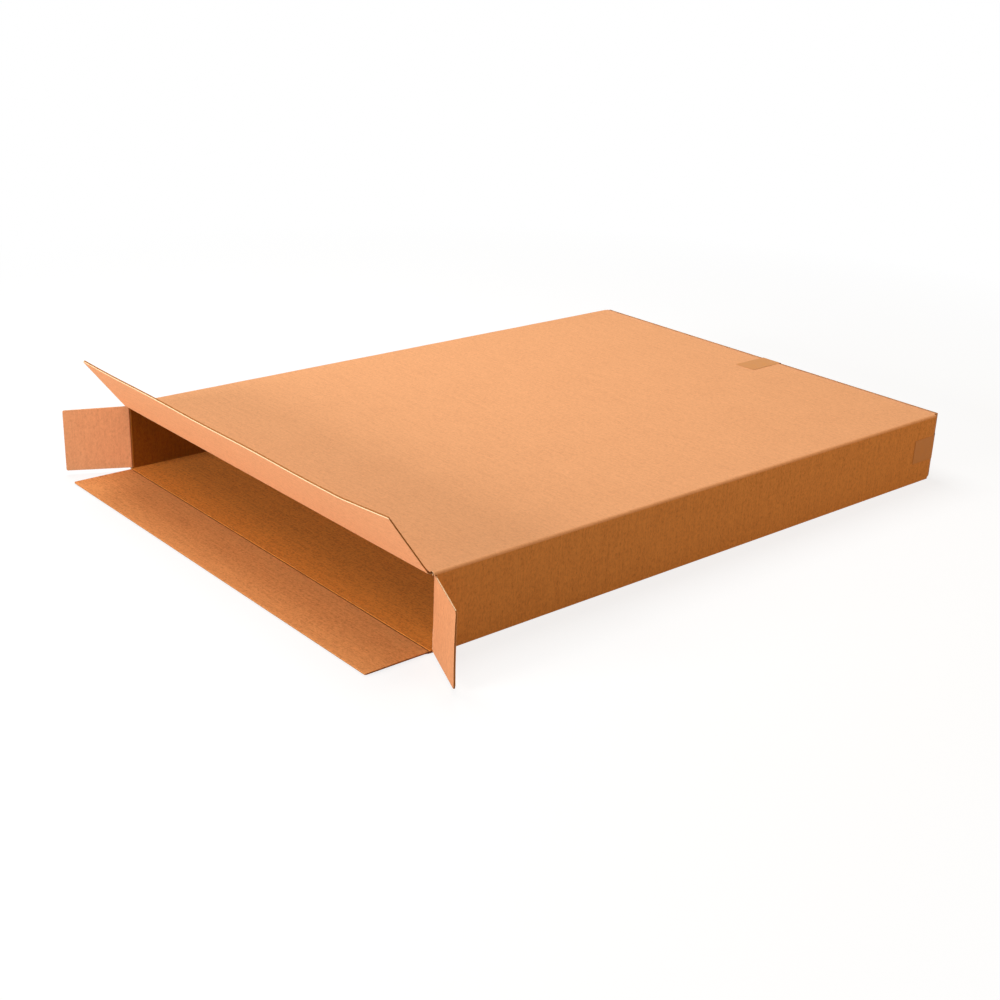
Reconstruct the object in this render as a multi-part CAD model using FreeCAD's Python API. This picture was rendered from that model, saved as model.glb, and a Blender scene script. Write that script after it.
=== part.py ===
import FreeCAD, Part
import math
import os

# Shallow side-loading shipping box of single-wall corrugated board, in millimetres.
# The box lies flat. X runs from the open end to the shut and taped end, Y across the width, Z up.
# The origin is on the ground at the middle of the box.

# Outer size of the tube that the four long panels make
box_length = 1245.0
box_width = 920.0
box_height = 133.0

# Board and its folds
board = 4.0
fold_radius = 5.0
glue_tab_height = 38.0
glue_tab_setback = 14.0
cut_edge_lift = 0.5

# Flaps of the open end
top_flap_length = 126.0
bottom_flap_length = 116.5
side_flap_length = 120.0
flap_corner_radius = 3.0
long_flap_inset = 6.0
side_flap_inset = 5.0

# How the open flaps lie, in degrees from straight out, swung away from the opening
top_flap_angle = 52.0
top_flap_curl = 3.3
top_flap_curl_reach = 110.0
bottom_flap_angle = 0.0
back_flap_angle = 24.0
front_flap_angle = 66.0
fold_back_limit = 120.0

# Flaps of the shut end
end_side_flap_length = 120.0
end_top_flap_clearance = 1.5
end_bottom_flap_trim = 1.0

# Running clearances
layer_gap = 0.3
hinge_gap = 0.3
tape_gap = 0.1

# Sealing tape
tape_width = 48.0
tape_thickness = 0.3
tape_bend = 1.0
side_tape_tail = 72.0
cross_tape_tail = 90.0
cross_tape_drop = 86.0
cross_tape_offset = -39.0

# Places that follow from the sizes
half_board = board / 2.0
layer_pitch = board + layer_gap
left = -box_length / 2.0
right = box_length / 2.0
front = -box_width / 2.0
back = box_width / 2.0
side_crease = left
bottom_crease = side_crease - layer_pitch
top_crease = bottom_crease - layer_pitch
end_inner_face = right - layer_pitch
end_side_face = end_inner_face - layer_pitch
hinge_reach = half_board + hinge_gap


def v(x, y, z):
    return FreeCAD.Vector(x, y, z)


def rounded_path(points, radius):
    """Edges of an open path in which every corner is a tangent arc."""
    edges = []
    start = points[0]
    for i in range(1, len(points) - 1):
        corner = points[i]
        into = (corner - points[i - 1]).normalize()
        out = (points[i + 1] - corner).normalize()
        turn = into.getAngle(out)
        cut = radius * math.tan(turn / 2.0)
        arc_start = corner - into * cut
        arc_end = corner + out * cut
        bisector = (out - into).normalize()
        middle = corner + bisector * (radius / math.cos(turn / 2.0) - radius)
        edges.append(Part.LineSegment(start, arc_start).toShape())
        edges.append(Part.Arc(arc_start, middle, arc_end).toShape())
        start = arc_end
    edges.append(Part.LineSegment(start, points[-1]).toShape())
    return edges


def folded_sheet(outer, inner, run):
    """Board folded along a path, from its outer and inner face lines, pushed along the fold."""
    edges = rounded_path(outer, fold_radius)
    edges.append(Part.LineSegment(outer[-1], inner[-1]).toShape())
    edges += rounded_path(inner[::-1], fold_radius - board)
    edges.append(Part.LineSegment(inner[0], outer[0]).toShape())
    wire = Part.Wire(Part.__sortEdges__(edges))
    return Part.Face(wire).extrude(run)


def prism(points, run):
    """Straight-sided solid from the corners of its section."""
    wire = Part.makePolygon(points + [points[0]])
    return Part.Face(wire).extrude(run)


def tube_panels():
    """Front, top, back and bottom panels, and the tab glued inside the front panel."""
    start = side_crease + hinge_reach
    end = end_side_face
    low = cut_edge_lift
    inside_front = front + board
    inside_back = back - board
    inside_top = box_height - board
    overlap = inside_front + 2.0 * fold_radius
    outer = [v(start, front, low), v(start, front, box_height), v(start, back, box_height),
             v(start, back, 0), v(start, overlap, 0)]
    inner = [v(start, inside_front, low), v(start, inside_front, inside_top),
             v(start, inside_back, inside_top), v(start, inside_back, board),
             v(start, overlap, board)]
    panels = folded_sheet(outer, inner, v(end - start, 0, 0))
    tab_face = inside_front + board
    tab_start = start
    outer = [v(tab_start, overlap, 0), v(tab_start, inside_front, 0),
             v(tab_start, inside_front, glue_tab_height)]
    inner = [v(tab_start, overlap, board), v(tab_start, tab_face, board),
             v(tab_start, tab_face, glue_tab_height)]
    tab = folded_sheet(outer, inner, v(end - tab_start, 0, 0))
    tab_room = 2.0 * fold_radius
    notch_start = Part.makeBox(glue_tab_setback, tab_room, glue_tab_height,
                               v(start, inside_front, board))
    notch_end = Part.makeBox(glue_tab_setback + board, tab_room, glue_tab_height,
                             v(end - glue_tab_setback - board, inside_front, board))
    return panels.fuse(tab.cut(notch_start).cut(notch_end))


def panel_end(crease, outward):
    """Section corners of a panel's end: the crease leaves room for the flap on both sides."""
    limit = math.radians(fold_back_limit)
    shoulder = (hinge_reach * math.sin(limit) - hinge_reach) / -math.cos(limit)
    lip = (hinge_reach - half_board * math.cos(limit)) / math.sin(limit)
    return [(crease + hinge_reach, -outward * half_board),
            (crease + hinge_reach, outward * shoulder),
            (crease + lip, outward * half_board)]


def long_panel_lip(crease, middle_z, outward):
    """The stretch of the top or bottom panel that reaches past the side panels."""
    ends = [v(x, front + long_flap_inset, middle_z + z) for x, z in panel_end(crease, outward)]
    stop = side_crease + 3.0 * board
    ends.append(v(stop, front + long_flap_inset, middle_z + outward * half_board))
    ends.append(v(stop, front + long_flap_inset, middle_z - outward * half_board))
    return prism(ends, v(0, box_width - 2.0 * long_flap_inset, 0))


def side_panel_bevel(middle_y, outward):
    """What is pared off a side panel's outer face beside its crease."""
    ends = panel_end(side_crease, outward)
    corners = [v(ends[1][0], middle_y + ends[1][1], 0), v(ends[2][0], middle_y + ends[2][1], 0)]
    beyond = middle_y + outward * 2.0 * half_board
    slope = (ends[2][0] - ends[1][0]) / (half_board - outward * ends[1][1])
    corners.append(v(ends[2][0] + slope * half_board, beyond, 0))
    corners.append(v(ends[1][0] - half_board, beyond, 0))
    corners.append(v(ends[1][0] - half_board, middle_y + ends[1][1], 0))
    return prism(corners, v(0, 0, box_height))


def shut_end_flaps():
    """The shut end's flaps: two short ones inside, then the top one, then the bottom one."""
    start = end_side_face - 2.0 * fold_radius
    near = front + long_flap_inset
    run = v(0, box_width - 2.0 * long_flap_inset, 0)
    high = box_height - end_bottom_flap_trim
    bottom = folded_sheet([v(start, near, 0), v(right, near, 0), v(right, near, high)],
                          [v(start, near, board), v(right - board, near, board),
                           v(right - board, near, high)], run)
    low = board + end_top_flap_clearance
    under_top = box_height - board
    top = folded_sheet([v(start, near, box_height), v(end_inner_face, near, box_height),
                        v(end_inner_face, near, low)],
                       [v(start, near, under_top), v(end_inner_face - board, near, under_top),
                        v(end_inner_face - board, near, low)], run)
    up = v(0, 0, box_height - 2.0 * side_flap_inset)
    sides = []
    for edge, inward in ((front, 1.0), (back, -1.0)):
        inside = edge + inward * board
        tip = edge + inward * end_side_flap_length
        z = side_flap_inset
        sides.append(folded_sheet([v(start, edge, z), v(end_side_face, edge, z),
                                   v(end_side_face, tip, z)],
                                  [v(start, inside, z), v(end_side_face - board, inside, z),
                                   v(end_side_face - board, tip, z)], up))
    return [bottom, top] + sides


def shut_end_rounding():
    """What the two upright folds of the shut end lose at their outer corners."""
    cutters = []
    for edge, inward in ((front, 1.0), (back, -1.0)):
        low_y = min(edge - inward, edge + inward * fold_radius)
        block = Part.makeBox(fold_radius + 1.0, fold_radius + 1.0, box_height,
                             v(end_side_face - fold_radius, low_y, 0))
        core = Part.makeCylinder(fold_radius, box_height,
                                 v(end_side_face - fold_radius, edge + inward * fold_radius, 0))
        keep = Part.makeBox(fold_radius + 1.0, board, box_height,
                            v(end_side_face - fold_radius,
                              min(edge + inward * long_flap_inset,
                                  edge + inward * (long_flap_inset + board)), 0))
        cutters.append(block.cut(core).cut(keep))
    return cutters


def box_body():
    """The folded tube with its shut end, all one piece of board."""
    body = tube_panels()
    for cutter in shut_end_rounding():
        body = body.cut(cutter)
    body = body.cut(side_panel_bevel(front + half_board, -1.0))
    body = body.cut(side_panel_bevel(back - half_board, 1.0))
    pieces = shut_end_flaps()
    pieces.append(long_panel_lip(top_crease, box_height - half_board, 1.0))
    pieces.append(long_panel_lip(bottom_crease, half_board, -1.0))
    body = body.multiFuse(pieces)
    return body.removeSplitter()


def flap_section(length, y):
    """Outline of a flap cut across its crease, with the half-round root about the crease."""
    root_low = v(0, y, -half_board)
    root_high = v(0, y, half_board)
    tip_high = v(-length, y, half_board)
    tip_low = v(-length, y, -half_board)
    edges = [Part.Arc(root_low, v(half_board, y, 0), root_high).toShape(),
             Part.LineSegment(root_high, tip_high).toShape(),
             Part.LineSegment(tip_high, tip_low).toShape(),
             Part.LineSegment(tip_low, root_low).toShape()]
    return Part.Wire(edges)


def flap(length, width, curl=0.0, curl_reach=0.0):
    """A flap straight out along -X, its crease along Y through the origin, one end curled up."""
    near = -width / 2.0
    flat = Part.Face(flap_section(length, near + curl_reach)).extrude(v(0, width - curl_reach, 0))
    corners = [edge for edge in flat.Edges
               if abs(edge.CenterOfMass.x + length) < 0.01
               and abs(edge.CenterOfMass.z) < 0.01
               and (curl_reach == 0.0 or edge.CenterOfMass.y > 0.0)]
    flat = flat.makeFillet(flap_corner_radius, corners)
    if curl_reach == 0.0:
        return flat
    end = flap_section(length, near)
    end.rotate(v(0, 0, 0), v(0, 1, 0), curl)
    curled = Part.makeLoft([flap_section(length, near + curl_reach), end], True, True)
    corners = [edge for edge in curled.Edges
               if abs(edge.CenterOfMass.y - near) < 0.01
               and edge.CenterOfMass.x < -0.9 * length]
    curled = curled.makeFillet(flap_corner_radius, corners)
    return flat.fuse(curled)


def long_flap(length, crease, middle_z, angle, curl=0.0, curl_reach=0.0):
    """A top or bottom flap, swung up by the angle about its crease."""
    solid = flap(length, box_width - 2.0 * long_flap_inset, curl, curl_reach)
    solid.rotate(v(0, 0, 0), v(0, 1, 0), angle)
    solid.translate(v(crease, 0, middle_z))
    return solid


def side_flap(middle_y, angle):
    """A short flap beside the opening, swung about its upright crease."""
    solid = flap(side_flap_length, box_height - 2.0 * side_flap_inset)
    solid.rotate(v(0, 0, 0), v(1, 0, 0), 90.0)
    solid.rotate(v(0, 0, 0), v(0, 0, 1), angle)
    solid.translate(v(side_crease, middle_y, box_height / 2.0))
    return solid


def strip(inside, normals, run):
    """A tape strip from the line of its inner face and the way out at each of its points."""
    outside = [p + n * tape_thickness for p, n in zip(inside, normals)]
    return prism(inside + outside[::-1], run)


def mitres(points, turn):
    """The way out at each point of a strip's line, long enough to keep its thickness."""
    sides = []
    for a, b in zip(points, points[1:]):
        along = (b - a).normalize()
        sides.append(turn(along))
    ways = [sides[0]]
    for a, b in zip(sides, sides[1:]):
        middle = (a + b).normalize()
        ways.append(middle * (1.0 / middle.dot(a)))
    ways.append(sides[-1])
    return ways


def side_tape():
    """The strip that runs level around the shut end, from the front panel to the back panel."""
    z = (box_height - tape_width) / 2.0
    tail = right - side_tape_tail
    bend = end_side_face - tape_bend
    out = right + tape_gap
    points = [v(tail, front - tape_gap, z), v(bend, front - tape_gap, z),
              v(out, front + long_flap_inset, z), v(out, back - long_flap_inset, z),
              v(bend, back + tape_gap, z), v(tail, back + tape_gap, z)]
    ways = mitres(points, lambda along: v(along.y, -along.x, 0))
    return strip(points, ways, v(0, 0, tape_width))


def cross_tape():
    """The strip from the top panel over the end's top edge and down across the level strip."""
    y = cross_tape_offset - tape_width / 2.0
    top = box_height + tape_gap
    out = right + tape_gap
    over = out + tape_thickness + tape_gap
    level_top = (box_height + tape_width) / 2.0
    points = [v(right - cross_tape_tail, y, top), v(right - tape_bend, y, top),
              v(out, y, box_height - tape_bend), v(out, y, level_top + tape_bend * 2.0),
              v(over, y, level_top + tape_gap), v(over, y, box_height - cross_tape_drop)]
    ways = mitres(points, lambda along: v(-along.z, 0, along.x))
    return strip(points, ways, v(0, tape_width, 0))


nodes = {
    "box_body": box_body(),
    "top_flap": long_flap(top_flap_length, top_crease, box_height - half_board, top_flap_angle,
                          top_flap_curl, top_flap_curl_reach),
    "bottom_flap": long_flap(bottom_flap_length, bottom_crease, half_board, bottom_flap_angle),
    "back_flap": side_flap(back - half_board, -back_flap_angle),
    "front_flap": side_flap(front + half_board, front_flap_angle),
    "side_tape": side_tape(),
    "cross_tape": cross_tape(),
}

os.makedirs("parts", exist_ok=True)
for name, shape in nodes.items():
    shape.exportStep("parts/" + name + ".step")
    print(name, shape.ShapeType, len(shape.Solids), round(shape.Volume), shape.isValid())
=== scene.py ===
import math

import bmesh
import bpy
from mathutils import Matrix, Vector, noise


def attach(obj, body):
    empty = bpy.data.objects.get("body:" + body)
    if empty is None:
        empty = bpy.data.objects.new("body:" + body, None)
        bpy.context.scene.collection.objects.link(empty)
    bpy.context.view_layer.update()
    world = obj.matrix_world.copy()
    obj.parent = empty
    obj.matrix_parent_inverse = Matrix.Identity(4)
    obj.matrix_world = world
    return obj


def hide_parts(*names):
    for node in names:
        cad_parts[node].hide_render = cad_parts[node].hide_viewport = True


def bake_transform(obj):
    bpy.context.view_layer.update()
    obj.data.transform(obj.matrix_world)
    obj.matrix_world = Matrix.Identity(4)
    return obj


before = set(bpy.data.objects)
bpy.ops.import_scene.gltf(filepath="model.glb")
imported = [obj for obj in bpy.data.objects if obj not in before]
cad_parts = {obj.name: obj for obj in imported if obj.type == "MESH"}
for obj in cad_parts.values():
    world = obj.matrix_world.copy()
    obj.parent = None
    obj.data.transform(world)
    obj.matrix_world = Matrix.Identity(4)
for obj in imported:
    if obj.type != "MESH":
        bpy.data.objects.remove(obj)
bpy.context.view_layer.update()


# The photographer's camera: a short telephoto lens a little above the box's open near corner.
# It stands on a tripod that leans slightly, so the picture has a roll of about two degrees.
lens = bpy.data.cameras.new("studio_camera")
lens.sensor_width = 36.0
lens.lens = 54.452
lens.clip_end = 200.0
camera = bpy.data.objects.new("studio_camera", lens)
camera.location = (-1.8606, -1.99171, 1.04556)
camera.rotation_euler = (1.185458725617927, -0.03821544169504332, -0.7082788992495166)
bpy.context.scene.collection.objects.link(camera)
bpy.context.scene.camera = camera
bpy.context.scene.view_settings.view_transform = "Standard"


# Kraft liner: the two smooth papers that face the board, made of long brown softwood fibres.
# The paper machine lays the fibres across the flutes, so its faint streaks run that way.
mm = 0.001
flute_pitch = 7.9 * mm


class Nodes:
    """The node tree of one finish, with short ways to add and join its nodes."""

    def __init__(self, name):
        self.material = bpy.data.materials.new(name)
        self.material.use_nodes = True
        self.tree = self.material.node_tree
        self.tree.nodes.clear()
        self.shader = self.tree.nodes.new("ShaderNodeBsdfPrincipled")
        self.output = self.tree.nodes.new("ShaderNodeOutputMaterial")
        self.join(self.shader.outputs["BSDF"], self.output.inputs["Surface"])

    def join(self, source, socket):
        """Feed a socket from another node, or set it where the source is a plain number."""
        if isinstance(source, (int, float)):
            socket.default_value = source
        else:
            self.tree.links.new(source, socket)

    def reckon(self, operation, *values):
        node = self.tree.nodes.new("ShaderNodeMath")
        node.operation = operation
        for value, socket in zip(values, node.inputs):
            self.join(value, socket)
        return node.outputs["Value"]

    def lengths(self, scale):
        """Lengths along and across the flutes, in metres, from the sheet's own map."""
        uv = self.tree.nodes.new("ShaderNodeUVMap")
        uv.uv_map = "lengths"
        mapping = self.tree.nodes.new("ShaderNodeMapping")
        mapping.inputs["Scale"].default_value = scale
        self.join(uv.outputs["UV"], mapping.inputs["Vector"])
        return mapping.outputs["Vector"]

    def cloud(self, scale, detail=3.0, rough=0.5, warp=0.0):
        """Soft noise from 0 to 1, with so many clouds to the metre along and across."""
        node = self.tree.nodes.new("ShaderNodeTexNoise")
        node.inputs["Scale"].default_value = 1.0
        node.inputs["Detail"].default_value = detail
        node.inputs["Roughness"].default_value = rough
        node.inputs["Distortion"].default_value = warp
        self.join(self.lengths(scale), node.inputs["Vector"])
        return node.outputs["Fac"]

    def sum(self, *parts):
        """A half plus each value's weighted departure from a half."""
        (first, weight), *others = parts
        total = self.reckon("MULTIPLY_ADD", first, weight, 0.5 - 0.5 * weight)
        for value, weight in others:
            base = self.reckon("ADD", total, -0.5 * weight)
            total = self.reckon("MULTIPLY_ADD", value, weight, base)
        return total

    def ramp(self, value, stops):
        node = self.tree.nodes.new("ShaderNodeValToRGB")
        marks = node.color_ramp.elements
        while len(marks) < len(stops):
            marks.new(0.5)
        for mark, (place, colour) in zip(marks, stops):
            mark.position = place
            mark.color = (colour[0], colour[1], colour[2], 1.0)
        self.join(value, node.inputs["Fac"])
        return node.outputs["Color"]

    def spread(self, value, low, high):
        node = self.tree.nodes.new("ShaderNodeMapRange")
        node.inputs["To Min"].default_value = low
        node.inputs["To Max"].default_value = high
        self.join(value, node.inputs["Value"])
        return node.outputs["Result"]

    def relief(self, height, depth):
        bump = self.tree.nodes.new("ShaderNodeBump")
        bump.inputs["Strength"].default_value = 1.0
        bump.inputs["Distance"].default_value = depth
        self.join(height, bump.inputs["Height"])
        self.join(bump.outputs["Normal"], self.shader.inputs["Normal"])


fold_wear_and_highlight_half = 3.4 * mm
washboard_depth = 0.10 * mm


def liner_paper(name, colour, washboard, contrast, folds=()):
    """Brown liner with cloudy formation, fibres, flecks and the flutes showing faintly through.
    Along the folds it is given it is paler, partly rubbed wear and partly a painted highlight."""
    finish = Nodes(name)
    clouds = finish.cloud((9.0, 11.0, 1.0), 3.0)
    mottle = finish.cloud((130.0, 90.0, 1.0), 4.0, 0.6)
    grain = finish.cloud((330.0, 185.0, 1.0), 3.0, 0.65, 0.5)
    streaks = finish.cloud((230.0, 14.0, 1.0), 3.0, 0.65)
    fibres = finish.cloud((2300.0, 520.0, 1.0), 2.0, 0.7, 0.6)
    flecks = finish.cloud((900.0, 620.0, 1.0), 1.0, 0.5, 1.2)
    flecks = finish.ramp(flecks, [(0.0, (0, 0, 0)), (0.27, (0, 0, 0)), (0.33, (1, 1, 1))])
    parts = [(clouds, 0.16), (mottle, 0.45 * contrast), (grain, 0.95 * contrast),
             (streaks, 0.50 * contrast), (fibres, 0.60), (flecks, 0.16)]
    # A paler band along each fold: partly rubbed wear, partly a painted highlight on the bend.
    for middle in folds:
        place = finish.tree.nodes.new("ShaderNodeSeparateXYZ")
        finish.join(finish.lengths((1.0, 1.0, 1.0)), place.inputs["Vector"])
        bent = finish.reckon("COMPARE", place.outputs["Y"], middle, fold_wear_and_highlight_half)
        parts.append((finish.reckon("MULTIPLY_ADD", bent, 0.5, 0.5), 0.34))
    tone = finish.sum(*parts)
    shade = [tuple(part * level ** power for part, power in zip(colour, (0.8, 1.05, 1.25)))
             for level in (0.72, 0.93, 1.0, 1.07, 1.2)]
    mark = finish.ramp(tone, list(zip((0.0, 0.36, 0.5, 0.64, 1.0), shade)))
    finish.join(mark, finish.shader.inputs["Base Color"])
    finish.join(finish.spread(mottle, 0.78, 0.92), finish.shader.inputs["Roughness"])
    finish.shader.inputs["Specular IOR Level"].default_value = 0.28
    flute = finish.tree.nodes.new("ShaderNodeTexWave")
    flute.bands_direction = "Y"
    flute.inputs["Scale"].default_value = 1.0
    flute.inputs["Distortion"].default_value = 0.35
    flute.inputs["Detail"].default_value = 1.0
    across = 2.0 * math.pi / 20.0 / flute_pitch
    finish.join(finish.lengths((1.0, across, 1.0)), flute.inputs["Vector"])
    height = finish.sum((flute.outputs["Fac"], washboard), (fibres, 0.55), (streaks, 0.35),
                        (mottle, 0.45))
    finish.relief(height, washboard_depth)
    return finish.material


outside_liner = liner_paper("outside_liner", (0.800, 0.374, 0.166), 0.30, 1.0)
inside_liner = liner_paper("inside_liner", (0.785, 0.362, 0.170), 0.45, 1.3)
# Painted shade: a darker copy of the inside liner for the open bottom flap under the raised top
# flap.
bottom_flap_shade_liner = liner_paper("bottom_flap_painted_shade", (0.695, 0.288, 0.090), 0.45, 2.4)
# Painted shade: a darker copy of the inside liner for the front flap, turned from the lamps.
front_flap_shade_liner = liner_paper("front_flap_painted_shade", (0.610, 0.260, 0.113), 0.45, 1.6)
shaded_liner = liner_paper("shaded_liner", (0.720, 0.246, 0.036), 0.55, 3.2)
# Painted shade, darkest: the tube's inner walls and roof and the flaps' strips inside the box.
deep_shade_liner = liner_paper("deep_shade_liner", (0.320, 0.102, 0.004), 0.45, 2.4)


# Cut edges: the knife leaves the liners' edges as pale fuzzy lines, paler still by a painted
# highlight, with the fluted paper between them. The fluting is a coarser and darker recycled
# paper, rippled hot and glued at its crests.
def rough_paper(name, dark, light, grain):
    finish = Nodes(name)
    fuzz = finish.cloud((1900.0, 1900.0, 1.0), 3.0, 0.7)
    blots = finish.cloud((160.0, 120.0, 1.0), 3.0, 0.6)
    tone = finish.sum((fuzz, 1.0), (blots, 0.8))
    finish.join(finish.ramp(tone, [(0.1, dark), (0.9, light)]), finish.shader.inputs["Base Color"])
    finish.join(finish.spread(blots, 0.85, 0.97), finish.shader.inputs["Roughness"])
    finish.shader.inputs["Specular IOR Level"].default_value = 0.05
    finish.relief(fuzz, grain)
    return finish.material


pale_cut_edge_and_highlight = rough_paper("pale_cut_edge_and_highlight", (0.84, 0.56, 0.32), (0.98, 0.76, 0.50), 0.06 * mm)
# Painted shade: a dark brown copy of the cut edge for edges turned from the light.
edge_shade = rough_paper("painted_shade_edge", (0.36, 0.125, 0.032), (0.52, 0.210, 0.066), 0.06 * mm)
fluting_paper = rough_paper("fluting_paper", (0.40, 0.180, 0.065), (0.60, 0.300, 0.125), 0.10 * mm)
# The score line: mostly painted shade in the pressed groove, partly crushed fibres; the same dark
# brown is painted shade on some flap tips' cut edges.
score_crush_and_shade = rough_paper("score_crush_and_shade", (0.26, 0.095, 0.024), (0.40, 0.160, 0.050), 0.10 * mm)


# Box body: one blank of single-wall board, scored, folded round and glued to a tab that stands
# inside the front panel. Four long panels make the tube, with soft bends where they meet.
length, width, height = 1245.0 * mm, 920.0 * mm, 133.0 * mm
board = 4.0 * mm
liner = 0.6 * mm
fold = 5.0 * mm
left, right = -length / 2.0, length / 2.0
long_inset, side_inset = 6.0 * mm, 5.0 * mm
cut_lift = 0.5 * mm
tab_height = 38.0 * mm
tube_gap = 2.3 * mm
tube_start, tube_end = left + tube_gap, right - 14.0 * mm
bend_step, panel_step = 0.9 * mm, 13.0 * mm
flute_step = flute_pitch / 8.0
fluting_half = 0.15 * mm
smooth_angle = math.radians(38.0)


def board_path(corners, radius, turn):
    """Place and way out at each length along a flat path whose corners are rounded."""
    pieces = []
    start = Vector(corners[0])
    for k in range(1, len(corners)):
        corner = Vector(corners[k])
        into = (corner - Vector(corners[k - 1])).normalized()
        last = k == len(corners) - 1
        stop = corner if last else corner - into * radius
        pieces.append((start, into, (stop - start).length, None, 0.0))
        if not last:
            onward = (Vector(corners[k + 1]) - corner).normalized()
            bend = math.copysign(math.pi / 2.0, into.x * onward.y - into.y * onward.x)
            hub = stop + onward * radius
            pieces.append((stop, into, abs(bend) * radius, hub, bend))
            start = corner + onward * radius

    def place(travel):
        for k, (begin, way, reach, hub, bend) in enumerate(pieces):
            if travel <= reach or k == len(pieces) - 1:
                break
            travel -= reach
        if hub is None:
            point, heading = begin + way * travel, way
        else:
            angle = bend * travel / reach
            cos, sin = math.cos(angle), math.sin(angle)
            arm = begin - hub
            point = hub + Vector((arm.x * cos - arm.y * sin, arm.x * sin + arm.y * cos))
            heading = Vector((way.x * cos - way.y * sin, way.x * sin + way.y * cos))
        return point, Vector((-heading.y, heading.x)) * turn

    place.marks = [0.0]
    for begin, way, reach, hub, bend in pieces:
        place.marks.append(place.marks[-1] + reach)
    return place


def steps(start, end, step):
    """Even stops from start to end, both included, no further apart than the step."""
    count = max(1, math.ceil((end - start) / step - 1e-9))
    return [start + (end - start) * k / count for k in range(count + 1)]


def new_sheet():
    bm = bmesh.new()
    return bm, bm.loops.layers.uv.new("lengths")


def add_ply(sheet, along, across, low, high, face, rim, under=None):
    """One layer of paper: a closed plate over a grid of lengths along and across the flutes."""
    bm, uv = sheet
    sides = [[[bm.verts.new(place(a, c)) for c in across] for a in along] for place in (low, high)]
    under = face if under is None else under

    def quad(corners, finish):
        made = bm.faces.new([sides[s][i][j] for s, i, j in corners])
        made.material_index = finish
        made.smooth = True
        for loop, (s, i, j) in zip(made.loops, corners):
            loop[uv].uv = (along[i], across[j])

    rows, columns = len(along) - 1, len(across) - 1
    for i in range(rows):
        for j in range(columns):
            facing = face(along[i], across[j]) if callable(face) else face
            behind = under(along[i], across[j]) if callable(under) else under
            quad(((1, i, j), (1, i + 1, j), (1, i + 1, j + 1), (1, i, j + 1)), facing)
            quad(((0, i, j), (0, i, j + 1), (0, i + 1, j + 1), (0, i + 1, j)), behind)
    for i in range(rows):
        quad(((0, i, 0), (0, i + 1, 0), (1, i + 1, 0), (1, i, 0)), rim)
        quad(((0, i, columns), (1, i, columns), (1, i + 1, columns), (0, i + 1, columns)), rim)
    for j in range(columns):
        quad(((0, 0, j), (1, 0, j), (1, 0, j + 1), (0, 0, j + 1)), rim)
        quad(((0, rows, j), (0, rows, j + 1), (1, rows, j + 1), (1, rows, j)), rim)


def add_fluting(sheet, along, across, at_height):
    """The rippled paper, a thin ply that follows the heights it is given."""
    add_ply(sheet, along, across, at_height(-fluting_half), at_height(fluting_half),
            FLUTING, FLUTING)


def ripple(across):
    """How far the fluted paper's middle stands from the board's middle."""
    crest = board / 2.0 - liner - 0.17 * mm
    return crest * math.cos(2.0 * math.pi * across / flute_pitch)


def finish_sheet(sheet, name, finishes=None):
    """Turn a sheet into an object, with the board's finishes unless it has its own."""
    bm = sheet[0]
    bmesh.ops.recalc_face_normals(bm, faces=bm.faces)
    mesh = bpy.data.meshes.new(name)
    bm.to_mesh(mesh)
    bm.free()
    for finish in finishes or board_finishes:
        mesh.materials.append(finish)
    mesh.set_sharp_from_angle(angle=smooth_angle)
    piece = bpy.data.objects.new(name, mesh)
    bpy.context.scene.collection.objects.link(piece)
    return piece


front, back = -width / 2.0, width / 2.0
tube_line = board_path([(front, cut_lift), (front, height), (back, height), (back, 0.0),
                        (front + board, 0.0), (front + board, tab_height)], fold, 1.0)
marks = tube_line.marks
bends = [0.5 * (marks[k] + marks[k + 1]) for k in (1, 3, 5)]
# The panels' outside: paler along the three long folds, partly rubbed wear, partly a painted
# highlight.
panel_liner = liner_paper("panel_liner", (0.800, 0.374, 0.166), 0.30, 1.2, bends)
# The front panel's outside: a darker, redder copy of the panel liner, painted shade.
front_panel_shade_liner = liner_paper("front_panel_shade_liner", (0.725, 0.298, 0.080), 0.30, 2.3, bends)
board_finishes = (outside_liner, inside_liner, pale_cut_edge_and_highlight, fluting_paper, shaded_liner, deep_shade_liner,
                  bottom_flap_shade_liner, front_flap_shade_liner, edge_shade, score_crush_and_shade, panel_liner, front_panel_shade_liner)
OUTSIDE, INSIDE, PALE_EDGE_HIGHLIGHT, FLUTING, SHADED, DEEP_SHADE, BOTTOM_FLAP_SHADE, FRONT_FLAP_SHADE, SHADED_CUT_EDGE, SCORE_SHADE, PANEL, \
    FRONT_PANEL_SHADE = range(len(board_finishes))
corner_zone = 0.25 * math.pi * fold + 1.0 * mm


def tube_place(depth):
    """The tube's surface at a depth below its outer face, with the panels' slight unevenness."""
    def place(x, c):
        point, out = tube_line(c)
        calm = min(1.0, min(abs(c - m) for m in marks) / (60.0 * mm))
        ends = min(1.0, (x - left) / (60.0 * mm), (right - x) / (60.0 * mm))
        uneven = noise.noise(Vector((x * 3.1, point.x * 3.7, point.y * 9.0)))
        sink = depth + (0.8 * uneven + 0.8) * mm * 0.5 * calm * max(0.0, ends)
        worn = noise.noise(Vector((x * 17.0, c * 3.0, 4.2))) + 0.4
        near = min(abs(c - middle) for middle in bends)
        bend = max(0.0, 1.0 - near / (6.0 * mm))
        sink += max(0.0, worn) * 0.35 * mm * bend * max(0.0, ends)
        spot = point - out * sink
        if x < tube_start + 0.1 * mm and near < corner_zone + 0.01 * mm:
            x -= 6.0 * mm  # the long corners run on to the creases, between the flaps' own strips
        return Vector((x, spot.x, spot.y))
    return place


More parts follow.
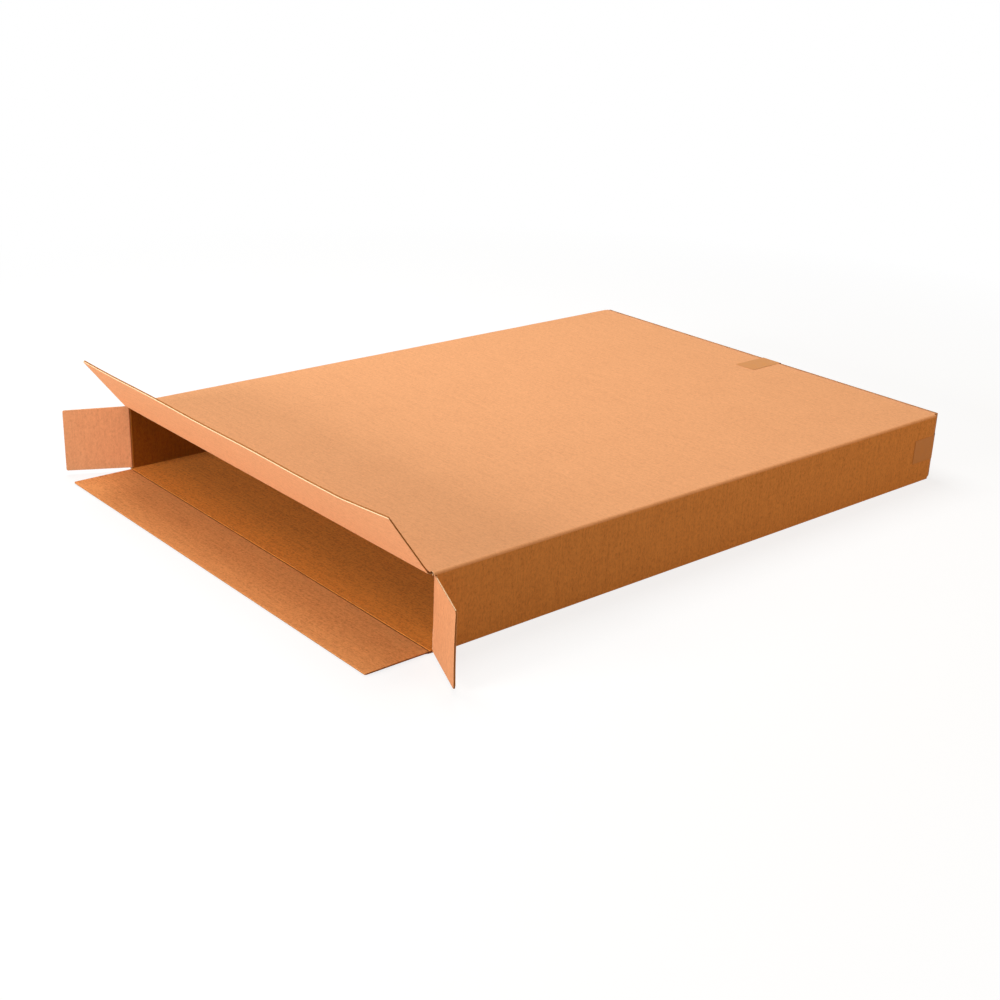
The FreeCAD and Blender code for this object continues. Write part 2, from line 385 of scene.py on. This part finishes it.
across = []
for k in range(len(marks) - 1):
    bent = k % 2 == 1
    across += steps(marks[k], marks[k + 1], bend_step if bent else panel_step)[:-1]
across.append(marks[-1])
for middle in bends:
    across += [middle + side * (corner_zone + step)
               for side in (-1, 1) for step in (0.0, 0.05 * mm)]
across = sorted(across)
along = steps(tube_start, left + 14.0 * mm, 4.0 * mm)[:-1] \
    + steps(left + 14.0 * mm, tube_end, 24.0 * mm)
tube = new_sheet()
# Outer liner: painted shade on the front panel; on the rest, fold bands partly worn and partly a
# painted highlight.
add_ply(tube, along, across, tube_place(liner), tube_place(0.0),
        lambda a, c: FRONT_PANEL_SHADE if c < marks[1] else PANEL, PALE_EDGE_HIGHLIGHT, INSIDE)
# Inner liner: painted shade, darkest on the walls and roof and lighter on the floor.
add_ply(tube, along, across, tube_place(board - liner), tube_place(board),
        lambda a, c: SHADED if c > marks[5] + fold else DEEP_SHADE, PALE_EDGE_HIGHLIGHT)
for start, end in ((marks[0], marks[0] + 2.0 * flute_pitch),
                   (marks[-1] - 2.0 * flute_pitch, marks[-1])):
    add_fluting(tube, along, steps(start, end, flute_step), lambda off: lambda x, c:
                tube_place(board / 2.0 - ripple(c - marks[0]) + off)(x, c))
for start, end in ((tube_start, left + 16.0 * mm), (tube_end - 12.0 * mm, tube_end)):
    for middle in bends:
        add_fluting(tube, steps(start, end, 7.0 * mm),
                    steps(middle - 3.0 * flute_pitch, middle + 3.0 * flute_pitch, flute_step),
                    lambda off: lambda x, c:
                    tube_place(board / 2.0 - 0.8 * ripple(c) + off)(x, c))
tube = finish_sheet(tube, "long_panels")
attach(tube, "box")
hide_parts("box_body")


# Shut end: the panels' far flaps, folded over in layers. Two short ones lie inside, the top one
# folds down over them, and the bottom one folds up last, its fluted free edge just under the top.
def end_flap(name, line, span, step, place, fluted):
    """A far flap and its bend, from the tube's end to the flap's free edge."""
    ways = line.marks
    run = steps(ways[0], ways[1], 6.0 * mm)[:-1] + steps(ways[1], ways[2], bend_step)[:-1] \
        + steps(ways[2], ways[3] - 4.0 * mm, 16.0 * mm)[:-1] \
        + steps(ways[3] - 4.0 * mm, ways[3], 2.0 * mm)

    def layer(depth):
        def spot(s, c):
            point, out = line(s)
            lumps = noise.noise(Vector((s * 21.0, c * 7.0, ways[3] * 50.0))) + 1.0
            sink = depth + 0.22 * mm * lumps * min(1.0, max(0.0, s - ways[2]) / (20.0 * mm))
            at = point - out * sink
            return place(at, c)
        return spot

    sheet = new_sheet()
    grid = steps(-span, span, step)
    add_ply(sheet, run, grid, layer(0.0), layer(liner), OUTSIDE, PALE_EDGE_HIGHLIGHT, INSIDE)
    add_ply(sheet, run, grid, layer(board - liner), layer(board), SHADED, PALE_EDGE_HIGHLIGHT, SHADED)
    if fluted:
        add_fluting(sheet, run[:-1:2] + run[-1:], steps(-span, span, flute_step),
                    lambda off: lambda s, c: layer(board / 2.0 - ripple(c) + off)(s, c))
    piece = finish_sheet(sheet, name)
    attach(piece, "box")
    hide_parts("box_body")


layer_pitch = 4.3 * mm
inner_face, side_face = right - layer_pitch, right - 2.0 * layer_pitch
long_span, side_span = width / 2.0 - long_inset, height / 2.0 - side_inset
side_reach = 120.0 * mm
end_flap("end_outer_flap",
         board_path([(tube_end, 0.0), (right, 0.0), (right, height - 1.0 * mm)], fold, -1.0),
         long_span, 2.0 * flute_step, lambda at, c: Vector((at.x, c, at.y)), fluted=True)
end_flap("end_inner_flap",
         board_path([(tube_end, height), (inner_face, height),
                     (inner_face, board + 1.5 * mm)], fold, 1.0),
         long_span, 12.0 * mm, lambda at, c: Vector((at.x, c, at.y)), fluted=False)
for name, edge, turn in (("end_front_flap", front, -1.0), ("end_back_flap", back, 1.0)):
    end_flap(name, board_path([(tube_end, edge), (side_face, edge),
                               (side_face, edge - turn * side_reach)], fold * 0.99, turn),
             side_span, 2.0 * flute_step,
             lambda at, c: Vector((at.x, at.y, height / 2.0 + c)), fluted=True)


# Open flaps: the near ends of the same four panels, turned outward on their score lines. Each
# stays one sheet with its panel: the crushed score bends, and the rest stays nearly straight.
crease_half = 2.6 * mm
die_corner = 3.0 * mm
crushed_rim = 4.5 * mm
side_press = 0.42


def ease(t):
    t = min(1.0, max(0.0, t))
    return t * t * (3.0 - 2.0 * t)


def open_flap(name, node, hub, outward, sideways, reach, span, lip, angle, bow, inner, panel,
              tip_cut, low_cut, high_cut, taper=0.0, corner=die_corner, press=side_press):
    """A flap with the strip of panel before its crease, both liners and the fluting between.
    It is turned out of its panel's plane by an angle in degrees, which may vary along the crease,
    and each cut has two finishes: one at the inside liner and one for the rest."""
    hub, outward, sideways = Vector(hub), Vector(outward), Vector(sideways)
    inward = Vector((1.0, 0.0, 0.0))
    half = board / 2.0

    def tip(c):
        """How far the flap reaches, with its corners rounded by the die and a rough cut."""
        radius = corner if c > 0.0 else die_corner
        gap = radius - (span - abs(c))
        cut = reach - (radius - math.sqrt(max(0.0, radius ** 2 - max(0.0, gap) ** 2)))
        return cut + 0.12 * mm * noise.noise(Vector((c * 260.0, reach * 90.0, 0.0))) - 0.12 * mm

    def layer(n, crease_depth):
        def spot(a, c):
            if a > 10.0 * mm:
                a = 10.0 * mm + (tip(c) - 10.0 * mm) * (a - 10.0 * mm) / (reach - 10.0 * mm)
            groove = 0.5 + 0.5 * math.cos(math.pi * min(1.0, abs(a) / (1.7 * mm)))
            bead = math.exp(-((a + 2.6 * mm) / (0.9 * mm)) ** 2)
            bead += 0.4 * math.exp(-((a - 2.8 * mm) / (1.0 * mm)) ** 2)
            crushed = max(press * ease(1.0 - (tip(c) - a) / crushed_rim),
                          side_press * ease(1.0 - (span - abs(c)) / crushed_rim)
                          * ease(a / (8.0 * mm)))
            flat = n - (n / half) * crease_depth * groove
            flat = -half + (flat + half) * (1.0 - crushed)
            if n < 0.0:
                flat -= 0.22 * mm * bead * (0.8 + 0.5 * noise.noise(Vector((c * 40.0, 7.0, n))))
            flat += bow(a, c) * ease(a / (40.0 * mm))
            turn = ease((a + crease_half) / (2.0 * crease_half)) * math.radians(angle(c))
            u = -a * math.cos(turn) + flat * math.sin(turn)
            w = a * math.sin(turn) + flat * math.cos(turn)
            narrow = 1.0 - taper * max(0.0, a) / reach / span
            return hub + inward * u + outward * w + sideways * c * narrow
        return spot

    rest = math.radians(angle(0.0))
    run = steps(-lip, -5.4 * mm, 5.0 * mm)[:-1] if lip > 6.0 * mm else []
    run += steps(-min(lip, 5.4 * mm), 5.4 * mm, 0.72 * mm) + [10.0 * mm]
    run += steps(10.0 * mm, reach - 4.0 * mm, 13.0 * mm)[1:] \
        + [reach - 2.4 * mm, reach - 1.0 * mm, reach]
    wide = steps(-span, span, 2.0 * flute_step)
    for k in (0.25, 0.55, 1.0, 1.6):
        wide += [span - k * mm, -span + k * mm]
    wide = sorted(wide)
    sheet = new_sheet()

    def inner_face(a, c):
        # The score line and the strip of panel before it are painted shade.
        if abs(a + 0.36 * mm) < 0.75 * mm:
            return SCORE_SHADE
        return panel if a < 0.0 else inner

    add_ply(sheet, run, wide, layer(half - liner, 0.45 * mm), layer(half, 0.45 * mm),
            OUTSIDE, tip_cut[1], INSIDE)
    add_ply(sheet, run, wide, layer(-half + liner, 0.95 * mm), layer(-half, 0.95 * mm),
            inner_face, tip_cut[0], INSIDE)
    rows = run[::4] + [reach - 4.0 * mm, reach - 0.15 * mm]
    rows = sorted(set(round(r, 6) for r in rows if r <= reach - 0.14 * mm))
    add_fluting(sheet, rows, steps(-span, span, flute_step),
                lambda off: lambda a, c: layer(ripple(c) * 0.95 + off, 0.5 * mm)(a, c))
    levels = [k * (half - liner) for k in (-0.98, -0.45, -0.4, 0.3, 0.98)]
    for cut, finishes in (("tip", tip_cut), ("low", low_cut), ("high", high_cut)):
        def knife(depth, cut=cut):
            if cut == "tip":
                return lambda n, c: layer(n, 0.0)(reach - depth, c * (1.0 - 0.5 * mm / span))
            end = span - depth if cut == "high" else depth - span
            return lambda n, a: layer(n, 0.0)(a, end)
        path = wide if cut == "tip" else [a for a in run if a > 7.0 * mm]
        add_ply(sheet, levels, path, knife(0.45 * mm), knife(0.05 * mm),
                lambda n, c, finishes=finishes: finishes[0 if n < -0.43 * (half - liner) else 1],
                finishes[0])
    piece = finish_sheet(sheet, name)
    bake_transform(piece)
    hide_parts(node)


top_crease, bottom_crease = left - 2.0 * layer_pitch, left - layer_pitch


def top_angle(c):
    """Nearly flat along its length, with the near corner curled up and a faint wave."""
    curl = min(1.0, max(0.0, (-344.0 * mm - c) / (110.0 * mm)))
    return 52.0 + 3.3 * curl ** 1.15 - 0.22 * (1.0 - curl) * (1.0 + math.sin(c * 21.0 + 0.6))


def top_bow(a, c):
    return 0.25 * mm * noise.noise(Vector((c * 5.0, a * 14.0, 2.0))) - 0.25 * mm


# The top flap's tip cut has a painted highlight on its inside half and painted shade outside.
open_flap("open_top_flap", "top_flap", hub=(top_crease, 0.0, height - board / 2.0),
          outward=(0, 0, 1), sideways=(0, 1, 0), reach=126.0 * mm, span=long_span,
          lip=tube_start - top_crease, angle=top_angle, bow=top_bow, inner=INSIDE, panel=DEEP_SHADE,
          tip_cut=(PALE_EDGE_HIGHLIGHT, SCORE_SHADE), low_cut=(SHADED_CUT_EDGE, SHADED_CUT_EDGE), high_cut=(PALE_EDGE_HIGHLIGHT, SHADED_CUT_EDGE),
          press=0.08)
# The bottom flap's inside and its lip strip are darker copies: painted shade.
open_flap("open_bottom_flap", "bottom_flap", hub=(bottom_crease, 0.0, board / 2.0),
          outward=(0, 0, -1), sideways=(0, 1, 0), reach=116.5 * mm, span=long_span,
          lip=tube_start - bottom_crease, angle=lambda c: 0.0, bow=lambda a, c: -0.2 * mm,
          inner=BOTTOM_FLAP_SHADE, panel=SHADED, tip_cut=(BOTTOM_FLAP_SHADE, SHADED_CUT_EDGE),
          low_cut=(SHADED_CUT_EDGE, SHADED_CUT_EDGE), high_cut=(BOTTOM_FLAP_SHADE, SHADED_CUT_EDGE))
open_flap("open_back_flap", "back_flap", hub=(left, back - board / 2.0, height / 2.0),
          outward=(0, 1, 0), sideways=(0, 0, 1), reach=side_reach, span=side_span - 0.8 * mm,
          lip=tube_gap, angle=lambda c: 24.0,
          bow=lambda a, c: -0.35 * mm * (1.0 - (c / side_span) ** 2),
          inner=INSIDE, panel=DEEP_SHADE, tip_cut=(INSIDE, PALE_EDGE_HIGHLIGHT), low_cut=(INSIDE, PALE_EDGE_HIGHLIGHT),
          high_cut=(INSIDE, PALE_EDGE_HIGHLIGHT), taper=2.0 * mm)
# The front flap's inside is a darker copy, painted shade, and its tip cut is painted shade too.
open_flap("open_front_flap", "front_flap", hub=(left, front + board / 2.0, height / 2.0),
          outward=(0, -1, 0), sideways=(0, 0, 1), reach=side_reach, span=side_span,
          lip=tube_gap, angle=lambda c: 66.0,
          bow=lambda a, c: -0.9 * mm * (1.0 - (c / side_span) ** 2),
          inner=FRONT_FLAP_SHADE, panel=DEEP_SHADE, tip_cut=(SCORE_SHADE, SCORE_SHADE), low_cut=(SHADED_CUT_EDGE, SHADED_CUT_EDGE),
          high_cut=(PALE_EDGE_HIGHLIGHT, PALE_EDGE_HIGHLIGHT), taper=1.2 * mm, corner=7.0 * mm)


# Sealing tape: two strips of thin brown film, pulled off a roll and torn on its toothed blade.
# One runs level round the shut end and the other comes over its top edge and crosses the first.
film = Nodes("tape_film")
pulled = film.cloud((30.0, 700.0, 1.0), 3.0, 0.6)
patches = film.cloud((60.0, 45.0, 1.0), 3.0, 0.5)
film.join(film.ramp(film.sum((pulled, 0.5), (patches, 0.6)),
                    [(0.0, (0.575, 0.242, 0.068)), (1.0, (0.70, 0.302, 0.086))]),
          film.shader.inputs["Base Color"])
film.join(film.spread(patches, 0.42, 0.60), film.shader.inputs["Roughness"])
film.shader.inputs["Specular IOR Level"].default_value = 0.16
film.relief(film.sum((patches, 1.0), (pulled, 0.4)), 0.08 * mm)

tape_width, tape_thickness, tape_gap = 48.0 * mm, 0.3 * mm, 0.1 * mm
tape_reach = 72.0 * mm


def tape_strip(name, node, line, place):
    """A strip of film along a path, its two ends cut in small teeth."""
    total = line.marks[-1]
    run = []
    for k in range(len(line.marks) - 1):
        bent = k % 2 == 1
        run += steps(line.marks[k], line.marks[k + 1], 0.5 * mm if bent else 8.0 * mm)[:-1]
    run = [0.0, 0.6 * mm] + run[1:] + [total - 0.6 * mm, total]

    def layer(height_out):
        def spot(s, c):
            tooth = 0.45 * mm * abs(((c / (1.2 * mm)) % 2.0) - 1.0)
            s = min(max(s, tooth), total - tooth)
            point, out = line(s)
            crinkle = 0.05 * mm * (noise.noise(Vector((s * 60.0, c * 90.0, 3.0))) - 0.6)
            return place(point + out * (height_out + (crinkle if height_out > 0.0 else 0.0)), c)
        return spot

    sheet = new_sheet()
    add_ply(sheet, run, steps(-tape_width / 2.0, tape_width / 2.0, 0.6 * mm),
            layer(0.0), layer(tape_thickness), 0, 0)
    piece = finish_sheet(sheet, name, [film.material])
    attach(piece, "box")
    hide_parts(node)


def film_path(corners, radius, turn):
    """A path like the folded board's, for corners of any angle."""
    points = [Vector(corners[0])]
    for k in range(1, len(corners) - 1):
        corner = Vector(corners[k])
        into = (corner - Vector(corners[k - 1])).normalized()
        onward = (Vector(corners[k + 1]) - corner).normalized()
        for t in (0.0, 0.25, 0.5, 0.75, 1.0):
            points.append((corner - into * radius) * (1 - t) ** 2 + corner * 2 * t * (1 - t)
                          + (corner + onward * radius) * t * t)
    points.append(Vector(corners[-1]))
    marks = [0.0]
    for p, q in zip(points, points[1:]):
        marks.append(marks[-1] + (q - p).length)

    def place(travel):
        k = 0
        while k < len(points) - 2 and travel > marks[k + 1]:
            k += 1
        way = (points[k + 1] - points[k]).normalized()
        return points[k] + way * (travel - marks[k]), Vector((-way.y, way.x)) * turn

    place.marks = marks
    return place


bend_x, face_x = side_face - 1.0 * mm, right + tape_gap
side_line = film_path([(right - tape_reach, front - tape_gap), (bend_x, front - tape_gap),
                       (face_x, front + long_inset), (face_x, back - long_inset),
                       (bend_x, back + tape_gap), (right - tape_reach, back + tape_gap)],
                      1.0 * mm, -1.0)
tape_strip("level_tape", "side_tape", side_line,
           lambda at, c: Vector((at.x, at.y, height / 2.0 + c)))
cross_y = -39.0 * mm
over_x = face_x + tape_thickness + tape_gap
top_z = height + tape_gap
cross_line = film_path([(right - 90.0 * mm, top_z), (right - 1.0 * mm, top_z),
                        (face_x, height - 1.0 * mm),
                        (face_x, height / 2.0 + tape_width / 2.0 + 2.0 * mm),
                        (over_x, height / 2.0 + tape_width / 2.0 + 0.1 * mm),
                        (over_x, height - 86.0 * mm)], 0.4 * mm, 1.0)
tape_strip("cross_tape_strip", "cross_tape", cross_line,
           lambda at, c: Vector((at.x, cross_y + c, at.y)))


# Studio: a pale seamless floor that keeps a soft shadow, and large soft lamps. The main one
# stands low before the open end, two hang high over the box, and a warm card fills the front.
floor_mesh = bpy.data.meshes.new("studio_floor")
floor_mesh.from_pydata([(-30, -30, -0.0004), (30, -30, -0.0004), (30, 30, -0.0004),
                        (-30, 30, -0.0004)], [], [(0, 1, 2, 3)])
floor = bpy.data.objects.new("studio_floor", floor_mesh)
bpy.context.scene.collection.objects.link(floor)


def bare_tree(owner):
    owner.use_nodes = True
    owner.node_tree.nodes.clear()
    return owner.node_tree


def studio_node(kind, *feeds, operation=None, **settings):
    """A node of the floor or the room: what feeds its first sockets and what is set on others."""
    node = tree.nodes.new(kind)
    if operation:
        node.operation = operation
    for key, value in settings.items():
        node.inputs[key.replace("_", " ")].default_value = value
    for feed, socket in zip(feeds, node.inputs):
        tree.links.new(feed, socket)
    return node.outputs


def looking():
    """1 for what the camera sees straight on, through a clear film or in a gloss."""
    rays = studio_node("ShaderNodeLightPath")
    direct = studio_node("ShaderNodeMath", rays["Is Camera Ray"], rays["Is Transmission Ray"],
                         operation="MAXIMUM")[0]
    return studio_node("ShaderNodeMath", direct, rays["Is Glossy Ray"], operation="MAXIMUM")[0]


paint = bpy.data.materials.new("floor_paint")
tree = bare_tree(paint)
shadowed = studio_node("ShaderNodeBsdfDiffuse", Color=(0.22, 0.22, 0.22, 1))[0]
glow = studio_node("ShaderNodeEmission", Color=(1, 1, 1, 1), Strength=0.80)[0]
near_floor = studio_node("ShaderNodeAddShader", shadowed, glow)[0]
far_floor = studio_node("ShaderNodeEmission", Color=(1, 1, 1, 1), Strength=1.0)[0]
spot = studio_node("ShaderNodeNewGeometry")["Position"]
away = studio_node("ShaderNodeVectorMath", spot, operation="LENGTH")["Value"]
fade = studio_node("ShaderNodeMapRange", away, From_Min=1.1, From_Max=2.3)["Result"]
shown = studio_node("ShaderNodeMixShader", fade, near_floor, far_floor)[0]
bounce = studio_node("ShaderNodeBsdfDiffuse", Color=(0.36, 0.30, 0.24, 1))[0]
studio_node("ShaderNodeOutputMaterial",
            studio_node("ShaderNodeMixShader", looking(), bounce, shown)[0])
floor_mesh.materials.append(paint)

room = bpy.data.worlds.new("studio_world")
bpy.context.scene.world = room
tree = bare_tree(room)
dim = studio_node("ShaderNodeBackground", Color=(1.0, 0.86, 0.70, 1), Strength=0.06)[0]
white = studio_node("ShaderNodeBackground", Color=(1, 1, 1, 1), Strength=1.0)[0]
studio_node("ShaderNodeOutputWorld",
            studio_node("ShaderNodeMixShader", looking(), dim, white)[0])


def softbox(name, place, aim, wide, tall, level, colour):
    """A square lamp that gives the level, where 1 is a full white, at the place it aims at."""
    data = bpy.data.lights.new(name, "AREA")
    data.shape = "RECTANGLE"
    data.size, data.size_y = wide, tall
    data.color = colour
    lamp = bpy.data.objects.new(name, data)
    place, aim = Vector(place), Vector(aim)
    lamp.location = place
    lamp.rotation_euler = (aim - place).to_track_quat("-Z", "Y").to_euler()
    data.energy = level * math.pi ** 2 * (aim - place).length ** 2
    lamp.visible_camera = False
    bpy.context.scene.collection.objects.link(lamp)


softbox("open_end_softbox", (-4.6, 0.3, 1.10), (-0.5, 0.0, 0.1), 2.2, 1.0, 1.09, (1.0, 0.98, 0.98))
softbox("overhead_softbox", (0.0, 1.18, 3.15), (-0.15, 0.0, 0.13), 2.2, 2.2, 0.84, (1.0, 1.0, 1.0))
softbox("high_softbox", (-2.4, -1.9, 3.3), (-0.5, 0.0, 0.1), 1.6, 1.6, 0.15, (1.0, 0.94, 0.84))
softbox("warm_card", (2.6, -4.0, 1.2), (0.5, -0.4, 0.1), 3.0, 1.4, 0.37, (1.0, 0.66, 0.28))
